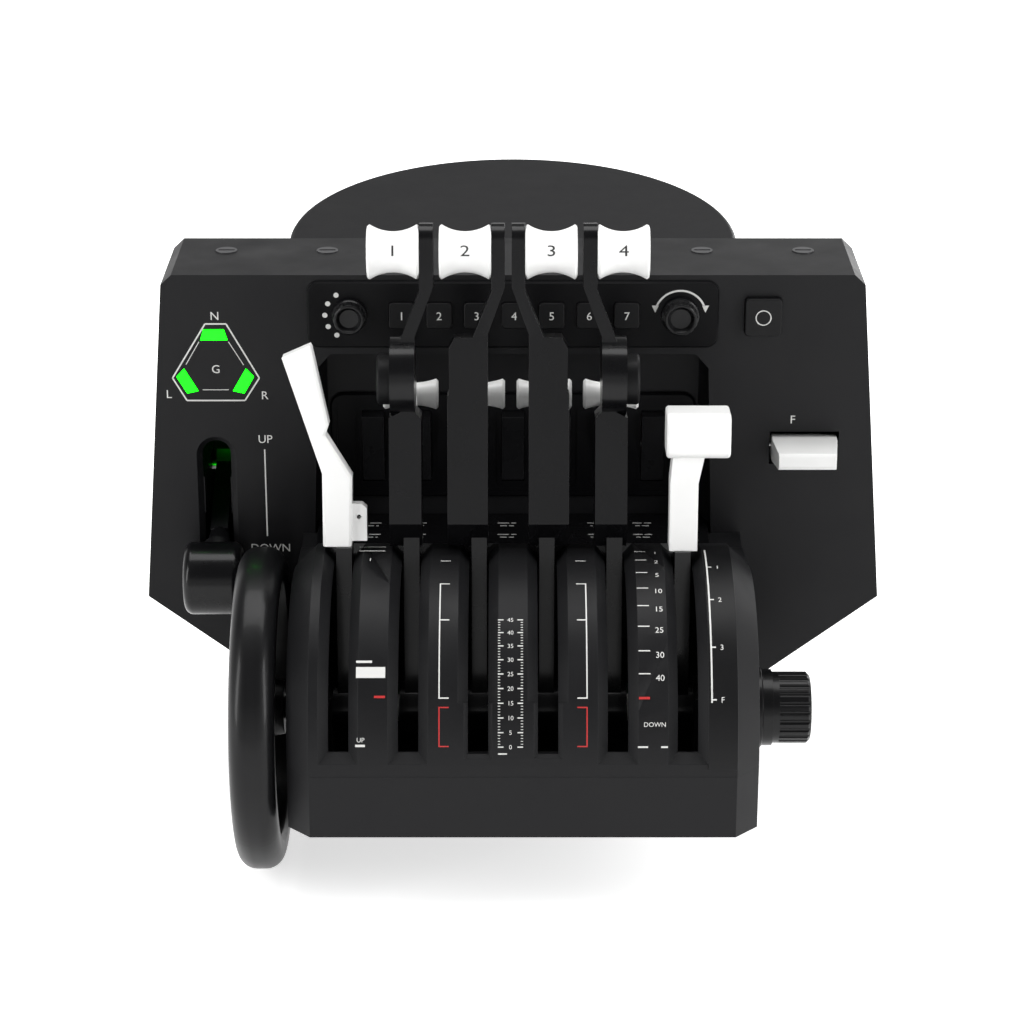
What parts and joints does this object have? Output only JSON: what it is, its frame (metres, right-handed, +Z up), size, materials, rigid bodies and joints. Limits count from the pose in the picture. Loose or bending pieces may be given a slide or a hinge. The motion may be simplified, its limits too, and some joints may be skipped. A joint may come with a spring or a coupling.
{
  "type": "throttle_quadrant",
  "caption": "Desktop flight throttle quadrant with arched base, throttle, speed brake, flap and gear levers, trim wheel, rotary knobs, keys and rocker switches.",
  "frame": {"origin": "middle of the console's width on the plane of the underside, directly below the levers' axle; the wheel reaches below it because the unit stands at the edge of a desk", "axes": "+X to the user's right along the levers' axle, +Y away from the user, +Z up"},
  "size_m": [0.344, 0.3173, 0.2892],
  "materials": {
    "case_black": "fine grained moulded black",
    "panel_black": "smooth satin black",
    "legend_black": "smoked plate over the legends",
    "plate_black": "matt black sheet",
    "lever_black": "satin black",
    "key_black": "fine matt",
    "rocker_black": "satin",
    "knob_black": "satin with sharp flutes",
    "wheel_black": "gloss",
    "handle_white": "semi gloss white",
    "spacer_white": "plain nylon",
    "rubber_black": "matt rubber",
    "lamp_green": "translucent green, lit",
    "screw_grey": "dark zinc",
    "steel": "bright steel",
    "board_green": "solder mask"
  },
  "bodies": {
    "base": {"annunciator_panel": "legend_black", "arch_cover": "case_black", "autopilot_strip": "panel_black", "axle_spacers": "spacer_white", "base_tub": "case_black", "bearing_blocks": "case_black", "bottom_plate": "case_black", "case_screws": "steel", "console_housing": "case_black", "detent_plate": "plate_black", "gear_lamp_lenses": "lamp_green", "grip_pads": "rubber_black", "lever_axle": "steel", "main_circuit_board": "board_green", "pivot_pins": "steel", "rear_cover": "case_black", "sensor_board": "board_green", "switch_plate": "panel_black", "top_insert_screws": "screw_grey", "usb_socket": "steel"},
    "throttle_1": {"throttle_lever_1": "lever_black", "throttle_grip_1": "handle_white"},
    "throttle_2": {"throttle_lever_2": "lever_black", "throttle_grip_2": "handle_white"},
    "throttle_3": {"throttle_lever_3": "lever_black", "throttle_grip_3": "handle_white"},
    "throttle_4": {"throttle_lever_4": "lever_black", "throttle_grip_4": "handle_white"},
    "reverse_bar_1": {"reverser_1": "handle_white"},
    "reverse_bar_2": {"reverser_2": "handle_white"},
    "reverse_bar_3": {"reverser_3": "handle_white"},
    "reverse_bar_4": {"reverser_4": "handle_white"},
    "thumb_key_1": {"thumb_button_1": "key_black"},
    "thumb_key_2": {"thumb_button_2": "key_black"},
    "speed_brake": {"speed_brake_lever": "lever_black", "speed_brake_handle": "handle_white"},
    "flaps": {"flap_lever": "lever_black", "flap_handle": "handle_white"},
    "gear": {"gear_lever": "lever_black", "gear_knob": "lever_black"},
    "flap_paddle": {"flap_switch": "handle_white"},
    "rocker_body_1": {"rocker_1": "rocker_black"},
    "rocker_body_2": {"rocker_2": "rocker_black"},
    "rocker_body_3": {"rocker_3": "rocker_black"},
    "rocker_body_4": {"rocker_4": "rocker_black"},
    "rocker_body_5": {"rocker_5": "rocker_black"},
    "rocker_body_6": {"rocker_6": "rocker_black"},
    "rocker_body_7": {"rocker_7": "rocker_black"},
    "strip_button_1": {"strip_key_1": "key_black"},
    "strip_button_2": {"strip_key_2": "key_black"},
    "strip_button_3": {"strip_key_3": "key_black"},
    "strip_button_4": {"strip_key_4": "key_black"},
    "strip_button_5": {"strip_key_5": "key_black"},
    "strip_button_6": {"strip_key_6": "key_black"},
    "strip_button_7": {"strip_key_7": "key_black"},
    "master_button": {"master_key": "key_black"},
    "selector": {"selector_knob": "knob_black"},
    "encoder": {"encoder_knob": "knob_black"},
    "trim": {"trim_wheel": "wheel_black"},
    "lever_friction": {"friction_knob": "knob_black"}
  },
  "joints": [
    {"name": "throttle_1_travel", "type": "hinge", "parent": "base", "child": "throttle_1", "pos_m": [-0.045, 0, 0.0274], "axis": [1, 0, 0], "range_deg": [0, 82]},
    {"name": "throttle_2_travel", "type": "hinge", "parent": "base", "child": "throttle_2", "pos_m": [-0.015, 0, 0.0274], "axis": [1, 0, 0], "range_deg": [0, 82]},
    {"name": "throttle_3_travel", "type": "hinge", "parent": "base", "child": "throttle_3", "pos_m": [0.015, 0, 0.0274], "axis": [1, 0, 0], "range_deg": [0, 82]},
    {"name": "throttle_4_travel", "type": "hinge", "parent": "base", "child": "throttle_4", "pos_m": [0.045, 0, 0.0274], "axis": [1, 0, 0], "range_deg": [0, 82]},
    {"name": "reverser_1_pull", "type": "hinge", "parent": "throttle_1", "child": "reverse_bar_1", "pos_m": [-0.046, 0.02412, 0.13495], "axis": [1, 0, 0], "range_deg": [-30, 0], "stiffness_Nm_per_rad": 0.02, "springref_deg": 20.05},
    {"name": "reverser_2_pull", "type": "hinge", "parent": "throttle_2", "child": "reverse_bar_2", "pos_m": [-0.016, 0.02412, 0.13495], "axis": [1, 0, 0], "range_deg": [-30, 0], "stiffness_Nm_per_rad": 0.02, "springref_deg": 20.05},
    {"name": "reverser_3_pull", "type": "hinge", "parent": "throttle_3", "child": "reverse_bar_3", "pos_m": [0.014, 0.02412, 0.13495], "axis": [1, 0, 0], "range_deg": [-30, 0], "stiffness_Nm_per_rad": 0.02, "springref_deg": 20.05},
    {"name": "reverser_4_pull", "type": "hinge", "parent": "throttle_4", "child": "reverse_bar_4", "pos_m": [0.044, 0.02412, 0.13495], "axis": [1, 0, 0], "range_deg": [-30, 0], "stiffness_Nm_per_rad": 0.02, "springref_deg": 20.05},
    {"name": "thumb_button_1_press", "type": "slide", "parent": "throttle_1", "child": "thumb_key_1", "axis": [1, 0, 0], "range_m": [0, 0.001], "stiffness_N_per_m": 400, "springref_m": -0.001},
    {"name": "thumb_button_2_press", "type": "slide", "parent": "throttle_4", "child": "thumb_key_2", "axis": [-1, 0, 0], "range_m": [0, 0.001], "stiffness_N_per_m": 400, "springref_m": -0.001},
    {"name": "speed_brake_travel", "type": "hinge", "parent": "base", "child": "speed_brake", "pos_m": [-0.075, 0, 0.0274], "axis": [1, 0, 0], "range_deg": [0, 81]},
    {"name": "flap_lever_travel", "type": "hinge", "parent": "base", "child": "flaps", "pos_m": [0.075, 0, 0.0274], "axis": [1, 0, 0], "range_deg": [0, 77]},
    {"name": "gear_lever_travel", "type": "hinge", "parent": "base", "child": "gear", "pos_m": [-0.1375, 0.114, 0.1008], "axis": [-1, 0, 0], "range_deg": [0, 54]},
    {"name": "flap_switch_tip", "type": "hinge", "parent": "base", "child": "flap_paddle", "pos_m": [0.1347, 0.08, 0.1246], "axis": [1, 0, 0], "range_deg": [-12, 12], "stiffness_Nm_per_rad": 0.2},
    {"name": "rocker_1_tip", "type": "hinge", "parent": "base", "child": "rocker_body_1", "pos_m": [-0.06519, 0.092, 0.1206], "axis": [-1, 0, 0], "range_deg": [0, 14]},
    {"name": "rocker_2_tip", "type": "hinge", "parent": "base", "child": "rocker_body_2", "pos_m": [-0.04346, 0.092, 0.1206], "axis": [-1, 0, 0], "range_deg": [0, 14]},
    {"name": "rocker_3_tip", "type": "hinge", "parent": "base", "child": "rocker_body_3", "pos_m": [-0.02173, 0.092, 0.1206], "axis": [-1, 0, 0], "range_deg": [0, 14]},
    {"name": "rocker_4_tip", "type": "hinge", "parent": "base", "child": "rocker_body_4", "pos_m": [0, 0.092, 0.1206], "axis": [-1, 0, 0], "range_deg": [0, 14]},
    {"name": "rocker_5_tip", "type": "hinge", "parent": "base", "child": "rocker_body_5", "pos_m": [0.02173, 0.092, 0.1206], "axis": [-1, 0, 0], "range_deg": [0, 14]},
    {"name": "rocker_6_tip", "type": "hinge", "parent": "base", "child": "rocker_body_6", "pos_m": [0.04346, 0.092, 0.1206], "axis": [-1, 0, 0], "range_deg": [0, 14]},
    {"name": "rocker_7_tip", "type": "hinge", "parent": "base", "child": "rocker_body_7", "pos_m": [0.06519, 0.092, 0.1206], "axis": [-1, 0, 0], "range_deg": [0, 14]},
    {"name": "strip_key_1_press", "type": "slide", "parent": "base", "child": "strip_button_1", "axis": [0, 1, 0], "range_m": [0, 0.001], "stiffness_N_per_m": 300, "springref_m": -0.001},
    {"name": "strip_key_2_press", "type": "slide", "parent": "base", "child": "strip_button_2", "axis": [0, 1, 0], "range_m": [0, 0.001], "stiffness_N_per_m": 300, "springref_m": -0.001},
    {"name": "strip_key_3_press", "type": "slide", "parent": "base", "child": "strip_button_3", "axis": [0, 1, 0], "range_m": [0, 0.001], "stiffness_N_per_m": 300, "springref_m": -0.001},
    {"name": "strip_key_4_press", "type": "slide", "parent": "base", "child": "strip_button_4", "axis": [0, 1, 0], "range_m": [0, 0.001], "stiffness_N_per_m": 300, "springref_m": -0.001},
    {"name": "strip_key_5_press", "type": "slide", "parent": "base", "child": "strip_button_5", "axis": [0, 1, 0], "range_m": [0, 0.001], "stiffness_N_per_m": 300, "springref_m": -0.001},
    {"name": "strip_key_6_press", "type": "slide", "parent": "base", "child": "strip_button_6", "axis": [0, 1, 0], "range_m": [0, 0.001], "stiffness_N_per_m": 300, "springref_m": -0.001},
    {"name": "strip_key_7_press", "type": "slide", "parent": "base", "child": "strip_button_7", "axis": [0, 1, 0], "range_m": [0, 0.001], "stiffness_N_per_m": 300, "springref_m": -0.001},
    {"name": "master_key_press", "type": "slide", "parent": "base", "child": "master_button", "axis": [0, 1, 0], "range_m": [0, 0.001], "stiffness_N_per_m": 300, "springref_m": -0.001},
    {"name": "selector_turn", "type": "hinge", "parent": "base", "child": "selector", "pos_m": [-0.0743, 0.07, 0.1899], "axis": [0, 1, 0], "range_deg": [-57.7, 57.7]},
    {"name": "encoder_turn", "type": "hinge", "parent": "base", "child": "encoder", "pos_m": [0.076, 0.07, 0.1899], "axis": [0, 1, 0], "continuous": true},
    {"name": "trim_wheel_turn", "type": "hinge", "parent": "base", "child": "trim", "pos_m": [-0.113, 0, 0.0274], "axis": [1, 0, 0], "continuous": true},
    {"name": "friction_knob_turn", "type": "hinge", "parent": "base", "child": "lever_friction", "pos_m": [0.12, 0, 0.0274], "axis": [1, 0, 0], "range_deg": [0, 270]}
  ]
}
